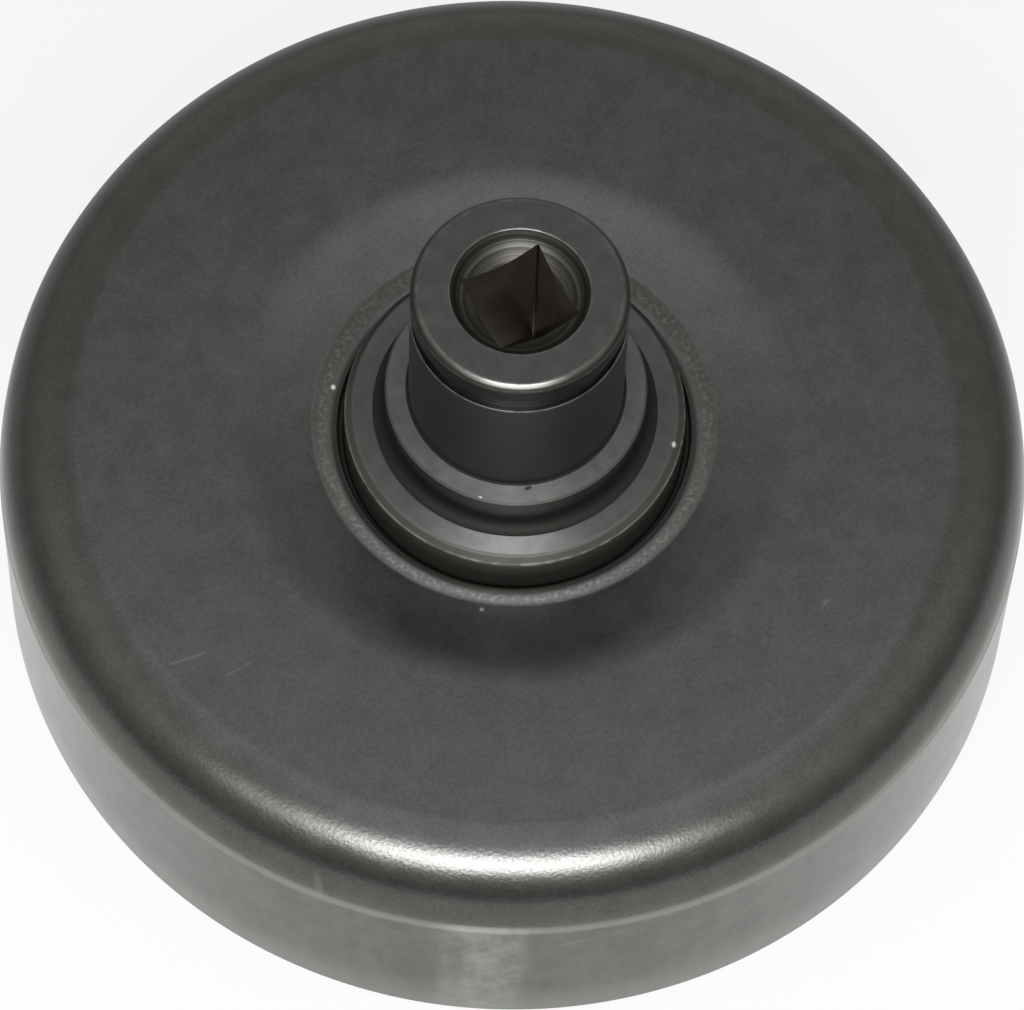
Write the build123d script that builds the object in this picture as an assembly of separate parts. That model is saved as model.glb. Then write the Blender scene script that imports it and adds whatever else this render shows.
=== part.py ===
from build123d import *
import math
import os

# Brush cutter clutch drum, standing on its open rim. A pressed steel cup has its web drawn
# down into a collar, and a turned steel hub is pressed into that collar from above.
# The origin is the centre of the open rim. +Z runs up the shaft axis to the hub's nose,
# and +X and +Y are square to the flats of the drive hole. Sizes are in millimetres.

# Pressed cup
FRICTION_RADIUS = 34.5  # inside of the wall, where the clutch shoes grip
SHEET = 1.9  # sheet thickness after drawing
WEB_HEIGHT = 20.75  # top of the flat web above the rim
CORNER_BEND = 3.8  # inside radius of the bend from the wall to the web
COLLAR_BEND = 0.5  # inside radius of the bend from the web to the collar
COLLAR_DEPTH = 5.45  # top of the flat web to the collar's lower end
DISH_RADIUS = 47.0  # curve by which the web sinks towards the collar
DISH_ANGLE = 8.0  # slope of the web where the collar's bend begins, in degrees
WALL_STEP = 0.1  # how far the ironed wall stands proud of the bend above it
WALL_STEP_RISE = 0.3  # height over which that step runs out
RIM_BREAK = 0.3  # broken edges of the open rim

# Turned hub
BODY_RADIUS = 12.0  # part of the hub that sits in the collar, which hugs it
BODY_RISE = 1.9  # top of the flat web to the body's upper face
BODY_CHAMFER = 0.6
BODY_LEAD_IN = 0.5  # chamfer of the end that is pressed in
SHOULDER_RADIUS = 9.15  # step that the bearing's inner ring stands on
SHOULDER_RISE = 3.3
SHOULDER_FILLET = 1.0
SHOULDER_BREAK = 0.15
JOURNAL_RADIUS = 7.5  # bearing seat
JOURNAL_LENGTH = 11.0
JOURNAL_FILLET = 0.3
GROOVE_WIDTH = 1.5  # retaining-ring groove above the bearing
GROOVE_DEPTH = 0.45
NOSE_LENGTH = 1.85  # groove to the end of the hub
NOSE_CHAMFER = 0.45
MOUTH_RADIUS = 4.8  # countersunk mouth of the drive hole
MOUTH_DEPTH = 0.65  # steep wall under the mouth's edge
MOUTH_TAPER = 0.45  # how far that wall leans in
MOUTH_FLOOR_ANGLE = 33.0  # slope of the drilled floor below it, in degrees
SQUARE_SIDE = 6.0  # drive hole, across its flats
SQUARE_CORNER = 0.15

# Heights and radii that follow from the sizes above
collar_end = WEB_HEIGHT - COLLAR_DEPTH
body_top = WEB_HEIGHT + BODY_RISE
shoulder_top = body_top + SHOULDER_RISE
groove_floor = shoulder_top + JOURNAL_LENGTH
groove_roof = groove_floor + GROOVE_WIDTH
nose_top = groove_roof + NOSE_LENGTH
bend_radius = FRICTION_RADIUS + SHEET
wall_radius = bend_radius + WALL_STEP


def drum_cup():
    """Sheet section turned about the shaft axis: wall, corner bend, sinking web and collar."""
    corner = Vector(FRICTION_RADIUS - CORNER_BEND, WEB_HEIGHT - SHEET - CORNER_BEND)
    collar_outer_bend = COLLAR_BEND + SHEET
    dish_reach = (DISH_RADIUS - collar_outer_bend) * math.sin(math.radians(DISH_ANGLE))
    dish_drop = (DISH_RADIUS - collar_outer_bend) * math.cos(math.radians(DISH_ANGLE))
    collar_bend = Vector(BODY_RADIUS + collar_outer_bend, WEB_HEIGHT - DISH_RADIUS + dish_drop)
    dish = Vector(collar_bend.X + dish_reach, WEB_HEIGHT - DISH_RADIUS)
    up_angle = 90
    with BuildPart() as cup:
        with BuildSketch(Plane.XZ):
            with BuildLine():
                corner_out = CenterArc(corner, CORNER_BEND + SHEET, 0, up_angle)
                corner_in = CenterArc(corner, CORNER_BEND, 0, up_angle)
                dish_out = CenterArc(dish, DISH_RADIUS, up_angle, DISH_ANGLE)
                dish_in = CenterArc(dish, DISH_RADIUS - SHEET, up_angle, DISH_ANGLE)
                collar_angle = up_angle - DISH_ANGLE
                collar_out = CenterArc(collar_bend, collar_outer_bend, up_angle + DISH_ANGLE, collar_angle)
                collar_in = CenterArc(collar_bend, COLLAR_BEND, up_angle + DISH_ANGLE, collar_angle)
                Line(corner_out @ 1, dish_out @ 0)
                Line(corner_in @ 1, dish_in @ 0)
                Polyline(
                    collar_out @ 1,
                    (BODY_RADIUS, collar_end),
                    (BODY_RADIUS + SHEET, collar_end),
                    collar_in @ 1,
                )
                Polyline(
                    corner_in @ 0,
                    (FRICTION_RADIUS, RIM_BREAK),
                    (FRICTION_RADIUS + RIM_BREAK, 0),
                    (wall_radius - RIM_BREAK, 0),
                    (wall_radius, RIM_BREAK),
                    (wall_radius, corner.Y - WALL_STEP_RISE),
                    corner_out @ 0,
                )
            make_face()
        revolve(axis=Axis.Z)
    return cup.part


def hub():
    """Turned section about the shaft axis, with the square drive hole cut right through."""
    mouth_floor_radius = MOUTH_RADIUS - MOUTH_TAPER
    mouth_floor = nose_top - MOUTH_DEPTH
    drill_point = mouth_floor - mouth_floor_radius * math.tan(math.radians(MOUTH_FLOOR_ANGLE))
    shoulder_fillet = Vector(SHOULDER_RADIUS + SHOULDER_FILLET, body_top + SHOULDER_FILLET)
    journal_fillet = Vector(JOURNAL_RADIUS + JOURNAL_FILLET, shoulder_top + JOURNAL_FILLET)
    left_angle = 180
    quarter_angle = 90
    with BuildPart() as turned:
        with BuildSketch(Plane.XZ):
            with BuildLine():
                shoulder_foot = CenterArc(shoulder_fillet, SHOULDER_FILLET, left_angle, quarter_angle)
                journal_foot = CenterArc(journal_fillet, JOURNAL_FILLET, left_angle, quarter_angle)
                Polyline(
                    (0, drill_point),
                    (0, collar_end),
                    (BODY_RADIUS - BODY_LEAD_IN, collar_end),
                    (BODY_RADIUS, collar_end + BODY_LEAD_IN),
                    (BODY_RADIUS, body_top - BODY_CHAMFER),
                    (BODY_RADIUS - BODY_CHAMFER, body_top),
                    shoulder_foot @ 1,
                )
                Polyline(
                    shoulder_foot @ 0,
                    (SHOULDER_RADIUS, shoulder_top - SHOULDER_BREAK),
                    (SHOULDER_RADIUS - SHOULDER_BREAK, shoulder_top),
                    journal_foot @ 1,
                )
                Polyline(
                    journal_foot @ 0,
                    (JOURNAL_RADIUS, groove_floor),
                    (JOURNAL_RADIUS - GROOVE_DEPTH, groove_floor),
                    (JOURNAL_RADIUS - GROOVE_DEPTH, groove_roof),
                    (JOURNAL_RADIUS, groove_roof),
                    (JOURNAL_RADIUS, nose_top - NOSE_CHAMFER),
                    (JOURNAL_RADIUS - NOSE_CHAMFER, nose_top),
                    (MOUTH_RADIUS, nose_top),
                    (mouth_floor_radius, mouth_floor),
                    (0, drill_point),
                )
            make_face()
        revolve(axis=Axis.Z)
        with BuildSketch(Plane.XY.offset(collar_end)):
            RectangleRounded(SQUARE_SIDE, SQUARE_SIDE, SQUARE_CORNER)
        extrude(amount=nose_top - collar_end, mode=Mode.SUBTRACT)
    return turned.part


os.makedirs("parts", exist_ok=True)
export_step(drum_cup(), "parts/drum_cup.step")
export_step(hub(), "parts/hub.step")
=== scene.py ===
import math

import bmesh
import bpy
from mathutils import Matrix, Vector


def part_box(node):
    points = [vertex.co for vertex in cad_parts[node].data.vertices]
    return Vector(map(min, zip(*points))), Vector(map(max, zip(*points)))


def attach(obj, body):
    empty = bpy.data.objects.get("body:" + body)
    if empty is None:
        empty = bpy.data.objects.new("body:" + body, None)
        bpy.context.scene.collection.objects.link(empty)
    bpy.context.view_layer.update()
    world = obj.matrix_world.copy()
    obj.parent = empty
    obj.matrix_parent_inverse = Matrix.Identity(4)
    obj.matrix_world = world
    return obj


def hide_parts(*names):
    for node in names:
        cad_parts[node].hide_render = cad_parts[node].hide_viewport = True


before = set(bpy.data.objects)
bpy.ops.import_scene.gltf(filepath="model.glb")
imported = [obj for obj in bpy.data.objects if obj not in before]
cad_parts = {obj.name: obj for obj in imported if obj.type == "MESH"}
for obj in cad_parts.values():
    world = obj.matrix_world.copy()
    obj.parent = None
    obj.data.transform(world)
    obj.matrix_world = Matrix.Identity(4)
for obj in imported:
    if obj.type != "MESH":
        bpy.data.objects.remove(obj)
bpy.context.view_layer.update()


# Drum cup. One steel disc drawn into a cup: the die ironed its wall smooth and left the bends
# grainy, and the web sinks to a collar that grips the hub. It keeps its dark oxide skin.
mm = 0.001
turn_steps = 256
merge_reach = 0.001 * mm
sharp_turn = math.radians(4)
cup_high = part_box("drum_cup")[1]
hub_low, hub_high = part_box("hub")
sheet = 1.9 * mm
rim_break = 0.3 * mm
wall_step = 0.1 * mm
wall_step_rise = 0.3 * mm
dish_curve = 47.0 * mm
dish_slope = 8.0
corner_inside = 3.8 * mm
corner_outside = corner_inside + sheet
collar_inside = 0.5 * mm
collar_outside = collar_inside + sheet
wall_radius = cup_high.x
bend_radius = wall_radius - wall_step
friction_radius = bend_radius - sheet
web_height = cup_high.z
corner_radius = bend_radius - corner_outside
corner_height = web_height - corner_outside
collar_radius = hub_high.x
collar_end = hub_low.z
collar_centre = collar_radius + collar_outside
dish_height = web_height - dish_curve
dish_span = dish_curve - collar_outside
collar_height = dish_height + dish_span * math.cos(math.radians(dish_slope))
dish_centre = collar_centre + dish_span * math.sin(math.radians(dish_slope))


def begin_section(radius, height):
    """A new section in the XZ plane, with its first point."""
    section = bmesh.new()
    return section, section.verts.new((radius, 0, height))


def run(section, tip, radius, height):
    """Carries the section straight on from its tip to a radius and a height."""
    point = bmesh.ops.extrude_vert_indiv(section, verts=[tip])["verts"][0]
    point.co = (radius, 0, height)
    return point


def bend(section, tip, radius, height, degrees, steps):
    """Carries the section on round a centre; a turn above zero runs clockwise."""
    turned = bmesh.ops.spin(
        section,
        geom=[tip],
        cent=(radius, 0, height),
        axis=(0, 1, 0),
        angle=math.radians(degrees),
        steps=steps,
        use_duplicate=False,
    )
    return [part for part in turned["geom_last"] if isinstance(part, bmesh.types.BMVert)][0]


def turn_solid(section):
    """Spins a closed section once about the shaft axis, with its seam closed and faces out."""
    bmesh.ops.spin(
        section,
        geom=section.verts[:] + section.edges[:],
        cent=(0, 0, 0),
        axis=(0, 0, 1),
        angle=math.tau,
        steps=turn_steps,
        use_merge=True,
        use_duplicate=False,
    )
    bmesh.ops.remove_doubles(section, verts=section.verts[:], dist=merge_reach)
    bmesh.ops.recalc_face_normals(section, faces=section.faces[:])


def finish_piece(section, name, *finishes):
    """The finished mesh as a piece of the drum, smooth but for its real edges."""
    mesh = bpy.data.meshes.new(name)
    section.to_mesh(mesh)
    section.free()
    mesh.shade_smooth()
    mesh.set_sharp_from_angle(angle=sharp_turn)
    for finish in finishes:
        mesh.materials.append(finish)
    piece = bpy.data.objects.new(name, mesh)
    bpy.context.scene.collection.objects.link(piece)
    return piece


cup, rim = begin_section(wall_radius - rim_break, 0)
tip = run(cup, rim, wall_radius, rim_break)
tip = run(cup, tip, wall_radius, corner_height - wall_step_rise)
tip = run(cup, tip, bend_radius, corner_height)
tip = bend(cup, tip, corner_radius, corner_height, -90, 36)
tip = run(cup, tip, dish_centre, web_height)
tip = bend(cup, tip, dish_centre, dish_height, -dish_slope, 8)
tip = bend(cup, tip, collar_centre, collar_height, dish_slope - 90, 24)
tip = run(cup, tip, collar_radius, collar_end)
tip = run(cup, tip, collar_radius + sheet, collar_end)
tip = run(cup, tip, collar_radius + sheet, collar_height)
tip = bend(cup, tip, collar_centre, collar_height, 90 - dish_slope, 22)
tip = bend(cup, tip, dish_centre, dish_height, dish_slope, 8)
tip = run(cup, tip, corner_radius, web_height - sheet)
tip = bend(cup, tip, corner_radius, corner_height, 90, 24)
tip = run(cup, tip, friction_radius, rim_break)
tip = run(cup, tip, friction_radius + rim_break, 0)
cup.edges.new((tip, rim))
turn_solid(cup)


def add_node(tree, kind, **settings):
    """A shader node of one kind, with its own settings."""
    node = tree.nodes.new(kind)
    for name, value in settings.items():
        setattr(node, name, value)
    return node


def feed(tree, socket, value):
    """Gives a socket a number or colour, or links it to another node's output."""
    if isinstance(value, bpy.types.NodeSocket):
        tree.links.new(value, socket)
    else:
        socket.default_value = value


def work_out(tree, operation, first, second=0.0, third=0.0):
    """One step of arithmetic between numbers or outputs."""
    node = add_node(tree, "ShaderNodeMath", operation=operation)
    for socket, value in zip(node.inputs, (first, second, third)):
        feed(tree, socket, value)
    return node.outputs[0]


def overlap(tree, *masks):
    """A mask that holds only where all of these hold."""
    shared = masks[0]
    for mask in masks[1:]:
        shared = work_out(tree, "MULTIPLY", shared, mask)
    return shared


def rest_of(tree, mask):
    """What a mask leaves out."""
    return work_out(tree, "SUBTRACT", 1.0, mask)


def add_share(tree, value, mask, amount):
    """A value, and the amount on top of it where the mask is 1."""
    return work_out(tree, "MULTIPLY_ADD", mask, amount, value)


def ramp(tree, value, start, end, low=0.0, high=1.0):
    """A soft step that runs from low at start to high at end."""
    node = add_node(tree, "ShaderNodeMapRange", interpolation_type="SMOOTHSTEP")
    names = ("Value", "From Min", "From Max", "To Min", "To Max")
    for name, number in zip(names, (value, start, end, low, high)):
        feed(tree, node.inputs[name], number)
    return node.outputs["Result"]


def band(tree, value, start, full, fade, end):
    """1 between full and fade, and softly down to 0 at start and at end."""
    return overlap(tree, ramp(tree, value, start, full), ramp(tree, value, end, fade))


def blend_colours(tree, mask, first, second):
    """First colour where the mask is 0, second where it is 1."""
    node = add_node(tree, "ShaderNodeMix", data_type="RGBA")
    feed(tree, node.inputs["Factor"], mask)
    # The node's own colour sockets are inputs 6 and 7, and output 2.
    feed(tree, node.inputs[6], first)
    feed(tree, node.inputs[7], second)
    return node.outputs[2]


def cloud(tree, place, size, detail=2.0, roughness=0.5, stretch=(1, 1, 1)):
    """Noise whose lumps are about as wide as size."""
    mapping = add_node(tree, "ShaderNodeMapping")
    feed(tree, mapping.inputs["Vector"], place)
    mapping.inputs["Scale"].default_value = stretch
    node = add_node(tree, "ShaderNodeTexNoise")
    feed(tree, node.inputs["Vector"], mapping.outputs["Vector"])
    node.inputs["Scale"].default_value = 1 / size
    node.inputs["Detail"].default_value = detail
    node.inputs["Roughness"].default_value = roughness
    return node.outputs["Fac"]


def make_turned_place():
    """Node group: where a point lies on a round part, as its radius and height."""
    group = bpy.data.node_groups.new("turned_place", "ShaderNodeTree")
    group.interface.new_socket("Position", in_out="OUTPUT", socket_type="NodeSocketVector")
    group.interface.new_socket("Radius", in_out="OUTPUT", socket_type="NodeSocketFloat")
    group.interface.new_socket("Height", in_out="OUTPUT", socket_type="NodeSocketFloat")
    place = add_node(group, "ShaderNodeTexCoord").outputs["Object"]
    split = add_node(group, "ShaderNodeSeparateXYZ")
    feed(group, split.inputs[0], place)
    flat = add_node(group, "ShaderNodeCombineXYZ")
    feed(group, flat.inputs["X"], split.outputs["X"])
    feed(group, flat.inputs["Y"], split.outputs["Y"])
    length = add_node(group, "ShaderNodeVectorMath", operation="LENGTH")
    feed(group, length.inputs[0], flat.outputs[0])
    out = add_node(group, "NodeGroupOutput")
    feed(group, out.inputs["Position"], place)
    feed(group, out.inputs["Radius"], length.outputs["Value"])
    feed(group, out.inputs["Height"], split.outputs["Z"])
    return group


turned_place = make_turned_place()


def make_worn_edge():
    """Node group: 1 on a round edge that handling has rubbed bare, with a ragged border."""
    group = bpy.data.node_groups.new("worn_edge", "ShaderNodeTree")
    for name in ("Radius", "Height", "Reach"):
        group.interface.new_socket(name, in_out="INPUT", socket_type="NodeSocketFloat")
    group.interface.new_socket("Mask", in_out="OUTPUT", socket_type="NodeSocketFloat")
    given = add_node(group, "NodeGroupInput").outputs
    place = add_node(group, "ShaderNodeGroup", node_tree=turned_place).outputs
    aside = work_out(group, "SUBTRACT", place["Radius"], given["Radius"])
    above = work_out(group, "SUBTRACT", place["Height"], given["Height"])
    square = work_out(group, "MULTIPLY_ADD", aside, aside, work_out(group, "MULTIPLY", above, above))
    away = work_out(group, "SQRT", square)
    ragged = ramp(group, cloud(group, place["Position"], 0.8 * mm, detail=3.0), 0.35, 0.65, 0.25, 1.0)
    near = ramp(group, work_out(group, "DIVIDE", away, given["Reach"]), 1.0, 0.25)
    out = add_node(group, "NodeGroupOutput")
    feed(group, out.inputs["Mask"], overlap(group, near, ragged))
    return group


def make_rub_mark():
    """Node group: 1 along a scratch between two points, or on a speck where they nearly meet."""
    group = bpy.data.node_groups.new("rub_mark", "ShaderNodeTree")
    for name in ("From", "To"):
        group.interface.new_socket(name, in_out="INPUT", socket_type="NodeSocketVector")
    group.interface.new_socket("Width", in_out="INPUT", socket_type="NodeSocketFloat")
    group.interface.new_socket("Mask", in_out="OUTPUT", socket_type="NodeSocketFloat")
    given = add_node(group, "NodeGroupInput").outputs
    place = add_node(group, "ShaderNodeGroup", node_tree=turned_place).outputs

    def combine(operation, first, second):
        """One step of arithmetic between two arrows."""
        node = add_node(group, "ShaderNodeVectorMath", operation=operation)
        feed(group, node.inputs[0], first)
        feed(group, node.inputs[1], second)
        return node.outputs["Value"] if operation == "DOT_PRODUCT" else node.outputs["Vector"]

    along = combine("SUBTRACT", given["To"], given["From"])
    reach = combine("SUBTRACT", place["Position"], given["From"])
    covered = combine("DOT_PRODUCT", reach, along)
    share = work_out(group, "DIVIDE", covered, combine("DOT_PRODUCT", along, along))
    share = work_out(group, "MINIMUM", work_out(group, "MAXIMUM", share, 0.0), 1.0)
    step = add_node(group, "ShaderNodeVectorMath", operation="SCALE")
    feed(group, step.inputs[0], along)
    feed(group, step.inputs["Scale"], share)
    away = add_node(group, "ShaderNodeVectorMath", operation="LENGTH")
    feed(group, away.inputs[0], combine("SUBTRACT", reach, step.outputs["Vector"]))
    out = add_node(group, "NodeGroupOutput")
    near = work_out(group, "DIVIDE", away.outputs["Value"], given["Width"])
    feed(group, out.inputs["Mask"], ramp(group, near, 1.0, 0.3))
    return group


worn_edge = make_worn_edge()
rub_mark = make_rub_mark()


def edge_mask(tree, radius, height, reach):
    """Mask of a worn round edge at a radius and height."""
    node = add_node(tree, "ShaderNodeGroup", node_tree=worn_edge)
    for name, value in zip(("Radius", "Height", "Reach"), (radius, height, reach)):
        node.inputs[name].default_value = value
    return node.outputs["Mask"]


def mark_mask(tree, start, end, width):
    """Mask of a scratch from start to end. Its places and width are in millimetres."""
    node = add_node(tree, "ShaderNodeGroup", node_tree=rub_mark)
    node.inputs["From"].default_value = Vector(start) * mm
    node.inputs["To"].default_value = Vector(end) * mm
    node.inputs["Width"].default_value = width * mm
    return node.outputs["Mask"]


def begin_finish(name):
    """A metal material with its shader, and where its points lie."""
    material = bpy.data.materials.new(name)
    material.use_nodes = True
    tree = material.node_tree
    shader = tree.nodes["Principled BSDF"]
    shader.inputs["Metallic"].default_value = 1.0
    place = add_node(tree, "ShaderNodeGroup", node_tree=turned_place).outputs
    return material, tree, shader, place


def uneven(tree, rough, mottle):
    """Roughness that wanders a little with the mottling of the skin."""
    swing = 0.08
    return add_share(tree, work_out(tree, "SUBTRACT", rough, swing / 2), mottle, swing)


def raise_grain(tree, shader, height, depth):
    """Bumps the surface by a height pattern that is depth deep."""
    bump = add_node(tree, "ShaderNodeBump")
    bump.inputs["Strength"].default_value = 1.0
    bump.inputs["Distance"].default_value = depth
    feed(tree, bump.inputs["Height"], height)
    feed(tree, shader.inputs["Normal"], bump.outputs["Normal"])


oxide_dark = (0.091, 0.093, 0.089, 1)
oxide_light = (0.126, 0.129, 0.125, 1)
bend_dark = (0.091, 0.091, 0.083, 1)
bend_light = (0.127, 0.127, 0.116, 1)
ironed_dark = (0.080, 0.081, 0.072, 1)
ironed_light = (0.128, 0.129, 0.117, 1)
foot_grey = (0.34, 0.34, 0.325, 1)
rubbed_grey = (0.36, 0.36, 0.33, 1)
die_line_glint_grey = (0.46, 0.46, 0.43, 1)
dash_grey = (0.45, 0.45, 0.43, 1)
scratch_grey = (0.55, 0.55, 0.54, 1)
ring_dark = (0.128, 0.127, 0.122, 1)
ring_highlight_grey = (0.215, 0.213, 0.204, 1)
gap_oxide_painted_lighter = (0.205, 0.198, 0.182, 1)
speck_white = (0.9, 0.9, 0.9, 1)
web_level = web_height / mm

cup_steel, tree, shader, place = begin_finish("drawn_oxide_steel")
radius, height, spot = place["Radius"], place["Height"], place["Position"]
on_wall = ramp(tree, height, corner_height + 0.05 * mm, corner_height - 0.05 * mm)
outside = ramp(tree, radius, friction_radius + 0.6 * mm, friction_radius + 1.2 * mm)
on_corner = overlap(
    tree,
    ramp(tree, radius, corner_radius - 0.5 * mm, corner_radius + 1.8 * mm),
    rest_of(tree, on_wall),
)
low_bend = ramp(tree, height, corner_height + 3.4 * mm, corner_height + 2.0 * mm)
on_top = ramp(tree, height, web_height - 1.6 * mm, web_height - 1.3 * mm)
on_ring = overlap(
    tree,
    ramp(tree, radius, collar_radius + 0.95 * mm, collar_radius + 1.6 * mm),
    ramp(tree, radius, collar_radius + 2.45 * mm, collar_radius + 1.6 * mm),
    on_top,
)
in_gap = ramp(tree, radius, collar_radius + 1.0 * mm, collar_radius + 0.45 * mm)
near_hub = ramp(tree, radius, collar_radius + 7.0 * mm, collar_radius + 3.0 * mm)

# The oxide skin of the web and bends, with its scratches and specks.
mottle = cloud(tree, spot, 2.4 * mm, detail=5.0, roughness=0.65)
fine = cloud(tree, spot, 0.22 * mm, detail=1.0)
tone = add_share(tree, work_out(tree, "MULTIPLY", mottle, 0.5), fine, 0.5)
patchy = ramp(tree, tone, 0.28, 0.72)
skin = blend_colours(tree, patchy, oxide_dark, oxide_light)
# The lower bend is painted a warmer grey: a painted tint of the floor's reflection.
skin = blend_colours(tree, low_bend, skin, blend_colours(tree, patchy, bend_dark, bend_light))
for start, end, width, strength in (
    ((-29.97, -5.76, web_level), (-27.45, -6.12, web_level), 0.13, 0.10),
    ((-26.85, -8.31, web_level), (-25.03, -8.22, web_level), 0.12, 0.08),
    ((-8.48, -28.87, web_level), (-8.00, -31.29, web_level), 0.11, 0.06),
    ((-7.22, -30.86, web_level), (-7.02, -31.79, web_level), 0.11, 0.06),
    ((-8.84, -11.83, 20.40), (-8.80, -11.83, 20.40), 0.20, 0.9),
    ((12.54, -22.49, web_level), (12.70, -22.40, web_level), 0.25, 0.12),
    ((-27.76, -23.23, 17.92), (-27.39, -23.67, 15.19), 0.45, 0.10),
):
    mark = work_out(tree, "MULTIPLY", mark_mask(tree, start, end, width), strength)
    skin = blend_colours(tree, mark, skin, scratch_grey)

# The ironed wall, brighter at its foot and where it is rubbed, and the line where the die left it,
# painted as bare metal with a painted glint.
blotch = cloud(tree, spot, 3.0 * mm, detail=6.0, roughness=0.7)
streak = cloud(tree, spot, 0.9 * mm, detail=3.0, stretch=(1, 1, 0.15))
burnish = add_share(tree, work_out(tree, "MULTIPLY", blotch, 0.75), streak, 0.25)
rubbed = overlap(
    tree,
    mark_mask(tree, (-18.6, -31.4, 15.0), (-19.0, -31.2, 0.0), 4.2),
    ramp(tree, burnish, 0.35, 0.65, 0.25, 1.0),
)
foot = ramp(tree, height, 5.5 * mm, 0.3 * mm, 0.0, 0.4)
dash = mark_mask(tree, (-13.79, -33.79, 12.22), (-12.57, -34.27, 12.80), 0.4)
wall = blend_colours(tree, ramp(tree, burnish, 0.3, 0.7), ironed_dark, ironed_light)
wall = blend_colours(tree, work_out(tree, "MULTIPLY", rubbed, 0.55), wall, rubbed_grey)
wall = blend_colours(tree, foot, wall, foot_grey)
wall = blend_colours(tree, work_out(tree, "MULTIPLY", dash, 0.10), wall, dash_grey)
# Painted highlight: the die's line is painted as a bright band, partly bare metal and partly a painted
# glint.
die_line_and_glint = overlap(
    tree,
    ramp(tree, height, corner_height - 0.75 * mm, corner_height - 0.20 * mm),
    ramp(tree, height, corner_height + 0.60 * mm, corner_height + 0.05 * mm),
    add_share(tree, 0.31, rubbed, 0.60),
)
on_crease = band(
    tree,
    height,
    corner_height - 0.36 * mm,
    corner_height - 0.30 * mm,
    corner_height - 0.02 * mm,
    corner_height + 0.04 * mm,
)
die_line_and_glint = overlap(tree, add_share(tree, die_line_and_glint, on_crease, 0.18), outside)

# The grainy ring round the collar, painted lighter with bright flecks as a painted highlight on its
# lip, and the gap between it and the hub, painted lighter than its shade.
# Painted highlight: the ring is painted lighter than the web, and bright flecks on its grain are
# painted glints.
painted_glints_and_grain = ramp(tree, cloud(tree, spot, 0.32 * mm, detail=2.0), 0.40, 0.72)
ring_painted_lighter = blend_colours(tree, painted_glints_and_grain, ring_dark, ring_highlight_grey)
speck = mark_mask(tree, (-9.99, 8.46, 20.00), (-9.95, 8.46, 20.00), 0.26)
colour = blend_colours(tree, on_wall, skin, wall)
colour = blend_colours(tree, die_line_and_glint, colour, die_line_glint_grey)
# Painted light: the gap's brown oxide is painted lighter than the web, to stand in for light reaching
# into the gap.
colour = blend_colours(tree, in_gap, colour, gap_oxide_painted_lighter)
colour = blend_colours(tree, on_ring, colour, ring_painted_lighter)
colour = blend_colours(tree, speck, colour, speck_white)
feed(tree, shader.inputs["Base Color"], colour)
feed(tree, shader.inputs["Metallic"], add_share(tree, 1.0, in_gap, -0.2))
rough = ramp(tree, on_wall, 0.0, 1.0, 0.24, 0.20)
rough = add_share(tree, rough, work_out(tree, "MAXIMUM", on_ring, in_gap), 0.04)
rough = add_share(tree, rough, die_line_and_glint, 0.2)
rough = add_share(tree, rough, near_hub, 0.12)
feed(tree, shader.inputs["Roughness"], uneven(tree, rough, mottle))
grain = cloud(tree, spot, 0.26 * mm, detail=2.0, roughness=0.6)
grainy = add_share(tree, 0.0015, on_corner, 0.012)
grainy = add_share(tree, grainy, on_ring, 0.017)
lip = ramp(tree, radius, collar_radius + 2.4 * mm, collar_radius + 0.25 * mm, 0.0, 1.12)
dip = ramp(tree, radius, collar_radius + 8.5 * mm, collar_radius + 1.5 * mm, 0.0, -0.20)
swell = overlap(tree, work_out(tree, "ADD", lip, dip), on_top)
raise_grain(tree, shader, add_share(tree, swell, grain, grainy), mm)

drum = finish_piece(cup, "pressed_cup", cup_steel)
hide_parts("drum_cup")
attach(drum, "root")


# Hub. Turned from steel bar: a body that is pressed into the collar, a shoulder, the bearing's
# journal, a groove for a retaining ring and a nose, with a square hole broached right through.
body_rise = 1.9 * mm
body_chamfer = 0.6 * mm
lead_in = 0.5 * mm
shoulder_radius = 9.15 * mm
shoulder_rise = 3.3 * mm
shoulder_fillet = 1.0 * mm
shoulder_break = 0.15 * mm
journal_radius = 7.5 * mm
journal_length = 11.0 * mm
journal_fillet = 0.3 * mm
groove_width = 1.5 * mm
groove_depth = 0.45 * mm
nose_chamfer = 0.45 * mm
mouth_radius = 4.8 * mm
mouth_depth = 0.65 * mm
mouth_taper = 0.45 * mm
mouth_slope = math.tan(math.radians(33))
square_side = 6.0 * mm
square_corner = 0.15 * mm
edge_round = 0.06 * mm
hair = 0.01 * mm
body_radius = hub_high.x
nose_top = hub_high.z
body_top = web_height + body_rise
shoulder_top = body_top + shoulder_rise
groove_floor = shoulder_top + journal_length
groove_roof = groove_floor + groove_width
groove_radius = journal_radius - groove_depth
mouth_floor_radius = mouth_radius - mouth_taper
mouth_floor = nose_top - mouth_depth
pilot = square_side / 2
square_reach = pilot * math.sqrt(2) - square_corner * (math.sqrt(2) - 1)
drill_point = mouth_floor - mouth_floor_radius * mouth_slope

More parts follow.
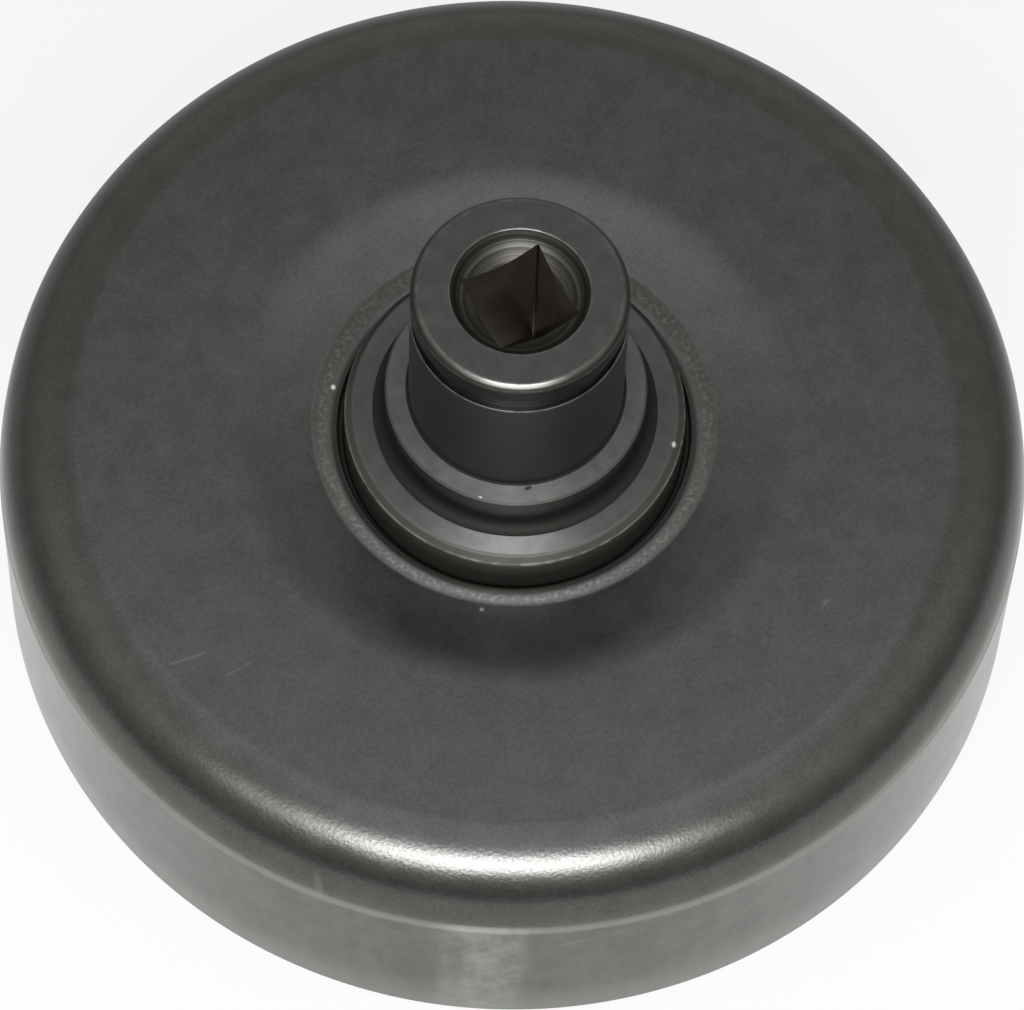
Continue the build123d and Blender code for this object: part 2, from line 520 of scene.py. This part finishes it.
hub, pilot_top = begin_section(pilot, drill_point + pilot * mouth_slope)
mouth_in = run(hub, pilot_top, mouth_floor_radius, mouth_floor)
mouth_out = run(hub, mouth_in, mouth_radius, nose_top)
nose_in = run(hub, mouth_out, journal_radius - nose_chamfer, nose_top)
nose_out = run(hub, nose_in, journal_radius, nose_top - nose_chamfer)
groove_lip = run(hub, nose_out, journal_radius, groove_roof)
tip = run(hub, groove_lip, groove_radius, groove_roof)
tip = run(hub, tip, groove_radius, groove_floor)
groove_ledge = run(hub, tip, journal_radius, groove_floor)
tip = run(hub, groove_ledge, journal_radius, shoulder_top + journal_fillet)
tip = bend(hub, tip, journal_radius + journal_fillet, shoulder_top + journal_fillet, -90, 24)
tip = run(hub, tip, shoulder_radius - shoulder_break, shoulder_top)
tip = run(hub, tip, shoulder_radius, shoulder_top - shoulder_break)
tip = run(hub, tip, shoulder_radius, body_top + shoulder_fillet)
tip = bend(hub, tip, shoulder_radius + shoulder_fillet, body_top + shoulder_fillet, -90, 24)
body_in = run(hub, tip, body_radius - body_chamfer, body_top)
body_out = run(hub, body_in, body_radius, body_top - body_chamfer)
tip = run(hub, body_out, body_radius, collar_end + lead_in)
tip = run(hub, tip, body_radius - lead_in, collar_end)
pilot_end = run(hub, tip, pilot, collar_end)
hub.edges.new((pilot_end, pilot_top))
bmesh.ops.bevel(
    hub,
    geom=[mouth_in, mouth_out, nose_in, nose_out, groove_lip, groove_ledge, body_in, body_out],
    affect="VERTICES",
    offset=edge_round,
    segments=5,
    profile=0.5,
    material=-1,
)
turn_solid(hub)

# The round pilot hole is broached square: its points move out to the flats, along the mouth's slope.
for vert in hub.verts:
    reach = math.hypot(vert.co.x, vert.co.y)
    if reach < pilot + hair:
        flat = max(abs(vert.co.x), abs(vert.co.y)) / reach
        spread = min(pilot / flat, square_reach)
        vert.co.x *= spread / reach
        vert.co.y *= spread / reach
        if vert.co.z > collar_end + lead_in:
            vert.co.z = drill_point + spread * mouth_slope

# The flat upper faces of the body and the shoulder have finishes of their own.
for face in hub.faces:
    level = face.calc_center_median().z
    for slot, flat_height in ((1, body_top), (2, shoulder_top)):
        if face.normal.z > 0.9 and abs(level - flat_height) < hair:
            face.material_index = slot


def tool_marks(tree, along, width):
    """Noise along one length, in rings about as wide as width, as a turning tool leaves them."""
    node = add_node(tree, "ShaderNodeTexNoise", noise_dimensions="1D")
    feed(tree, node.inputs["W"], work_out(tree, "DIVIDE", along, width))
    node.inputs["Scale"].default_value = 1.0
    node.inputs["Detail"].default_value = 1.0
    return node.outputs["Fac"]


hub_dark = (0.096, 0.097, 0.093, 1)
hub_light = (0.117, 0.118, 0.114, 1)
journal_oxide = (0.070, 0.071, 0.068, 1)
nose_oxide = (0.055, 0.055, 0.052, 1)
step_oxide = (0.150, 0.150, 0.145, 1)
chamfer_oxide = (0.130, 0.131, 0.126, 1)
seat_oxide = (0.088, 0.083, 0.075, 1)
painted_corner_shade = (0.030, 0.030, 0.028, 1)
bare_steel = (0.62, 0.61, 0.59, 1)
mouth_dark = (0.025, 0.024, 0.023, 1)
mouth_light = (0.090, 0.086, 0.082, 1)
rust_dark = (0.165, 0.140, 0.115, 1)
rust_light = (0.230, 0.185, 0.140, 1)
hole_corner_shade_black = (0.020, 0.017, 0.014, 1)
body_dark = (0.222, 0.226, 0.221, 1)
body_light = (0.282, 0.286, 0.281, 1)
shoulder_dark = (0.178, 0.181, 0.176, 1)
shoulder_light = (0.232, 0.235, 0.230, 1)
nick_white = (0.8, 0.8, 0.8, 1)
dent_black = (0.02, 0.02, 0.02, 1)

hub_steel, tree, shader, place = begin_finish("ground_oxide_steel")
radius, height, spot = place["Radius"], place["Height"], place["Position"]
split = add_node(tree, "ShaderNodeSeparateXYZ")
feed(tree, split.inputs[0], spot)
across = work_out(
    tree,
    "MAXIMUM",
    work_out(tree, "ABSOLUTE", split.outputs["X"]),
    work_out(tree, "ABSOLUTE", split.outputs["Y"]),
)
in_hole = ramp(tree, across, pilot + 0.008 * mm, pilot + 0.003 * mm)
in_mouth = overlap(
    tree,
    ramp(tree, radius, mouth_radius - 0.02 * mm, mouth_radius - 0.12 * mm),
    ramp(tree, height, groove_floor - 2.0 * mm, groove_floor),
    rest_of(tree, in_hole),
)
at_foot = band(
    tree,
    height,
    body_top - 0.2 * mm,
    body_top - 0.05 * mm,
    body_top + 0.8 * mm,
    body_top + 1.2 * mm,
)
at_root = overlap(
    tree,
    ramp(tree, height, shoulder_top + 0.40 * mm, shoulder_top + 0.25 * mm),
    ramp(tree, radius, journal_radius + 0.45 * mm, journal_radius + 0.35 * mm),
    ramp(tree, height, body_top, shoulder_top),
)
in_corner = work_out(tree, "MAXIMUM", at_foot, at_root)
on_step = overlap(
    tree,
    ramp(tree, height, body_top + 0.8 * mm, body_top + 1.2 * mm),
    ramp(tree, radius, journal_radius + 0.5 * mm, journal_radius + 0.7 * mm),
)
on_nose = band(
    tree,
    height,
    groove_floor + 0.05 * mm,
    groove_floor + 0.2 * mm,
    nose_top - 0.25 * mm,
    nose_top - 0.1 * mm,
)
on_journal = overlap(
    tree,
    band(tree, height, shoulder_top, shoulder_top + 0.2 * mm, groove_floor - 0.2 * mm, groove_floor),
    rest_of(tree, in_hole),
)
on_chamfer = ramp(tree, radius, body_radius - body_chamfer - 0.1 * mm, body_radius - body_chamfer)
in_seat = ramp(tree, height, body_top - body_chamfer + 0.02 * mm, body_top - body_chamfer - 0.2 * mm)

# The hub's oxide skin, darker on the ground journal and nose, and bare along its worn edges.
mottle = cloud(tree, spot, 1.6 * mm, detail=5.0, roughness=0.65)
colour = blend_colours(tree, ramp(tree, mottle, 0.3, 0.7), hub_dark, hub_light)
colour = blend_colours(tree, on_journal, colour, journal_oxide)
colour = blend_colours(tree, on_nose, colour, nose_oxide)
colour = blend_colours(tree, on_step, colour, step_oxide)
# Painted shade: the corners at the foot of the shoulder and the root of the journal are painted near
# black, dulling their fillets' highlights.
colour = blend_colours(tree, in_corner, colour, painted_corner_shade)
colour = blend_colours(tree, on_chamfer, colour, chamfer_oxide)
for edge_radius, edge_height, reach, strength in (
    (journal_radius - nose_chamfer, nose_top, 0.18 * mm, 0.10),
    (journal_radius, nose_top - nose_chamfer, 0.14 * mm, 0.08),
    (journal_radius, groove_floor, 0.26 * mm, 0.22),
    (mouth_radius, nose_top, 0.16 * mm, 0.10),
    (body_radius, body_top - body_chamfer, 0.24 * mm, 0.50),
):
    bare = work_out(tree, "MULTIPLY", edge_mask(tree, edge_radius, edge_height, reach), strength)
    colour = blend_colours(tree, bare, colour, bare_steel)

# The drilled mouth with its tool marks, and the broached hole with a little rust, its rounded corners
# painted black high up as painted shade.
turned_marks = tool_marks(tree, work_out(tree, "ADD", radius, height), 0.42 * mm)
mouth_colour = blend_colours(tree, ramp(tree, turned_marks, 0.3, 0.7), mouth_dark, mouth_light)
colour = blend_colours(tree, in_mouth, colour, mouth_colour)
rust = ramp(tree, cloud(tree, spot, 2.0 * mm, detail=4.0), 0.35, 0.65)
# Painted shade: the hole's rounded corners are painted black in their upper part, where they would
# otherwise catch a glint.
hole_corner_shade = overlap(
    tree,
    ramp(tree, radius, 1.378 * pilot, 1.386 * pilot),
    ramp(tree, height, groove_floor - 11.0 * mm, groove_floor - 5.0 * mm),
)
hole_colour = blend_colours(tree, rust, rust_dark, rust_light)
hole_colour = blend_colours(tree, hole_corner_shade, hole_colour, hole_corner_shade_black)
colour = blend_colours(tree, in_hole, colour, hole_colour)
colour = blend_colours(tree, in_seat, colour, seat_oxide)
body_speck = ((8.53, -7.63, 22.58), (8.57, -7.63, 22.58), 0.30)
colour = blend_colours(tree, mark_mask(tree, *body_speck), colour, speck_white)
feed(tree, shader.inputs["Base Color"], colour)
metal = add_share(tree, 1.0, in_hole, -0.1)
feed(tree, shader.inputs["Metallic"], add_share(tree, metal, in_seat, -0.2))
rough = add_share(tree, 0.25, in_mouth, 0.20)
rough = add_share(tree, rough, in_corner, 0.40)
rough = add_share(tree, rough, on_journal, 0.24)
rough = add_share(tree, rough, in_hole, 0.08)
feed(tree, shader.inputs["Roughness"], uneven(tree, rough, mottle))
ring_depth = add_share(tree, 0.0012, in_mouth, 0.0028)
nose_round = overlap(
    tree,
    ramp(tree, radius, journal_radius - 0.47 * mm, journal_radius - 0.15 * mm, 0.0, 0.065),
    ramp(tree, height, nose_top - 0.7 * mm, nose_top - 0.5 * mm),
)
raise_grain(tree, shader, add_share(tree, nose_round, turned_marks, ring_depth), mm)


def turned_face(name, spread, roughness, dark, light):
    """Steel of a face that was turned: its fine rings spread a highlight out along the radius."""
    steel, tree, shader, place = begin_finish(name)
    shader.inputs["Anisotropic"].default_value = spread
    shader.inputs["Anisotropic Rotation"].default_value = 0.25
    mottle = cloud(tree, place["Position"], 1.2 * mm, detail=5.0, roughness=0.65)
    nick = mark_mask(tree, (-6.35, -6.53, 25.95), (-6.25, -6.50, 25.95), 0.20)
    dent = mark_mask(tree, (-3.05, -7.33, 25.95), (-2.80, -7.35, 25.95), 0.20)
    bright = work_out(tree, "MAXIMUM", nick, mark_mask(tree, *body_speck))
    colour = blend_colours(tree, ramp(tree, mottle, 0.3, 0.7), dark, light)
    colour = blend_colours(tree, bright, colour, nick_white)
    colour = blend_colours(tree, work_out(tree, "MULTIPLY", dent, 0.8), colour, dent_black)
    feed(tree, shader.inputs["Base Color"], colour)
    feed(tree, shader.inputs["Roughness"], add_share(tree, roughness, mottle, 0.08))
    raise_grain(tree, shader, tool_marks(tree, place["Radius"], 0.14 * mm), 0.004 * mm)
    return steel


body_steel = turned_face("body_face_steel", 0.95, 0.56, body_dark, body_light)
shoulder_steel = turned_face("shoulder_face_steel", 0.6, 0.57, shoulder_dark, shoulder_light)

shaft_hub = finish_piece(hub, "turned_hub", hub_steel, body_steel, shoulder_steel)
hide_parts("hub")
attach(shaft_hub, "root")


# Floor. A pale board that the drum stands on. The camera sees it as nearly white with the drum's
# soft shadow; the metal mirrors a painted pool of light in front of the drum, paler and glowing, and a
# dimmer board beyond.
floor_span = 3.0
floor_drop = 0.02 * mm
view_azimuth = -30.2
camera_side = Matrix.Rotation(math.radians(view_azimuth), 3, "Z")
pool_centre = Vector((22 * mm, -85 * mm, 0))
pool_shape = (1.3, 1, 1)
pool_edge = 125 * mm
pool_full = 92 * mm
painted_beyond_pool_grey = (0.38, 0.38, 0.38, 1)
painted_pool_grey = (0.68, 0.68, 0.68, 1)
seen_glow = 0.85
mirrored_glow = 0.5

board = bmesh.new()
bmesh.ops.create_grid(board, x_segments=1, y_segments=1, size=floor_span / 2)
bmesh.ops.translate(board, verts=board.verts[:], vec=(0, 0, -floor_drop))
board_mesh = bpy.data.meshes.new("floor")
board.to_mesh(board_mesh)
board.free()
floor = bpy.data.objects.new("floor", board_mesh)
bpy.context.scene.collection.objects.link(floor)

board_white = bpy.data.materials.new("board_white")
board_white.use_nodes = True
tree = board_white.node_tree
tree.nodes.clear()
pool = add_node(tree, "ShaderNodeMapping", vector_type="TEXTURE")
feed(tree, pool.inputs["Vector"], add_node(tree, "ShaderNodeTexCoord").outputs["Object"])
pool.inputs["Location"].default_value = camera_side @ pool_centre
pool.inputs["Rotation"].default_value = (0, 0, math.radians(view_azimuth))
pool.inputs["Scale"].default_value = pool_shape
away = add_node(tree, "ShaderNodeVectorMath", operation="LENGTH")
feed(tree, away.inputs[0], pool.outputs["Vector"])
# Painted pool of light: the board is painted paler inside this pool and dimmer beyond it, and only the
# pool glows to reflections.
painted_pool = ramp(tree, away.outputs["Value"], pool_edge, pool_full)
matt = add_node(tree, "ShaderNodeBsdfDiffuse")
feed(tree, matt.inputs["Color"], blend_colours(tree, painted_pool, painted_beyond_pool_grey, painted_pool_grey))
glow = add_node(tree, "ShaderNodeEmission")
glow.inputs["Color"].default_value = (1, 1, 1, 1)
glow.inputs["Strength"].default_value = 1.0
seen = add_node(tree, "ShaderNodeLightPath")
mirrored = work_out(tree, "MAXIMUM", seen.outputs["Is Glossy Ray"], seen.outputs["Is Transmission Ray"])
mirrored = overlap(tree, mirrored, work_out(tree, "MULTIPLY", painted_pool, mirrored_glow))
share = add_node(tree, "ShaderNodeMixShader")
feed(tree, share.inputs[0], add_share(tree, mirrored, seen.outputs["Is Camera Ray"], seen_glow))
feed(tree, share.inputs[1], matt.outputs[0])
feed(tree, share.inputs[2], glow.outputs[0])
feed(tree, add_node(tree, "ShaderNodeOutputMaterial").inputs["Surface"], share.outputs[0])
board_mesh.materials.append(board_white)


# Light. A soft box in front of the drum and below the camera, with a broader and dimmer one round
# it, in a dim room. The room has a pale ceiling, and its walls are paler behind and at the sides.
middle = Vector((0, 0, 15 * mm))


def soft_box(name, azimuth, elevation, distance, width, height, radiance):
    """An oval lamp aimed at the drum; azimuth 0 is the camera's side."""
    lamp = bpy.data.lights.new(name, "AREA")
    lamp.shape = "ELLIPSE"
    lamp.size = width
    lamp.size_y = height
    lamp.energy = radiance * math.pi * math.pi / 4 * width * height
    turn = Matrix.Rotation(math.radians(view_azimuth + azimuth), 3, "Z")
    tilt = Matrix.Rotation(math.radians(90 - elevation), 3, "X")
    stand = bpy.data.objects.new(name, lamp)
    stand.matrix_world = (turn @ tilt).to_4x4()
    stand.location = middle + turn @ tilt @ Vector((0, 0, distance))
    bpy.context.scene.collection.objects.link(stand)


soft_box("front_box", azimuth=0, elevation=48.7, distance=0.60, width=0.45, height=0.215, radiance=9.8)
soft_box("front_fill", azimuth=-5, elevation=50, distance=0.62, width=0.86, height=0.33, radiance=1.7)


def along(tree, look, direction):
    """How far a line of sight runs in a direction that is given from the camera's side."""
    node = add_node(tree, "ShaderNodeVectorMath", operation="DOT_PRODUCT")
    feed(tree, node.inputs[0], look)
    node.inputs[1].default_value = camera_side @ Vector(direction)
    return node.outputs["Value"]


def rise_at(degrees):
    """How far a line of sight climbs at an elevation."""
    return math.sin(math.radians(degrees))


haze_tint = (0.965, 1.0, 0.910, 1)
ceiling_tint = (0.99, 1.0, 1.05, 1)

room = bpy.data.worlds.new("room")
bpy.context.scene.world = room
room.use_nodes = True
tree = room.node_tree
sky = tree.nodes["Background"]
look = add_node(tree, "ShaderNodeTexCoord").outputs["Generated"]
rise = along(tree, look, (0, 0, 1))
behind = along(tree, look, (0, 1, 0))
aside = work_out(tree, "ABSOLUTE", along(tree, look, (1, 0, 0)))
ceiling = overlap(
    tree,
    ramp(tree, rise, rise_at(62.8), rise_at(68.5), 0.0, 0.78),
    ramp(tree, aside, 0.10, 0.30, 1.0, 0.6),
)
haze = ramp(tree, rise, 0.0, rise_at(15), 0.36, 0.465)
under_ceiling = ramp(tree, rise, rise_at(51), rise_at(61), 0.0, -0.075)
backdrop = overlap(
    tree,
    ramp(tree, behind, 0.70, 0.98),
    ramp(tree, rise, rise_at(60), rise_at(38), 0.0, 0.12),
)
in_front = ramp(tree, behind, -0.3, -0.95, 0.0, -0.07)
sides = overlap(
    tree,
    ramp(tree, rise, rise_at(12), rise_at(42), 0.0, 0.32),
    ramp(tree, behind, 0.55, 0.0),
    ramp(tree, rise, rise_at(72), rise_at(60)),
)
strength = ceiling
for part in (haze, under_ceiling, backdrop, in_front, sides):
    strength = work_out(tree, "ADD", strength, part)
tint = blend_colours(tree, ramp(tree, ceiling, 0.0, 0.7), haze_tint, ceiling_tint)
feed(tree, sky.inputs["Color"], tint)
feed(tree, sky.inputs["Strength"], strength)


# Camera. A long lens from above and in front of the drum, turned a little about its own axis, so
# that the drum fills the frame from edge to edge.
view_elevation = 64.307
view_roll = 2.615
view_offset = Vector((0.229, 2.971, 476.296)) * mm
eye = bpy.data.cameras.new("camera")
eye.sensor_width = 36.0
eye.lens = 228.42
camera = bpy.data.objects.new("camera", eye)
tilt = Matrix.Rotation(math.radians(90 - view_elevation), 3, "X")
roll = Matrix.Rotation(math.radians(view_roll), 3, "Z")
facing = camera_side @ tilt @ roll
camera.matrix_world = facing.to_4x4()
camera.location = facing @ view_offset
bpy.context.scene.collection.objects.link(camera)
bpy.context.scene.camera = camera
bpy.context.scene.view_settings.view_transform = "Standard"
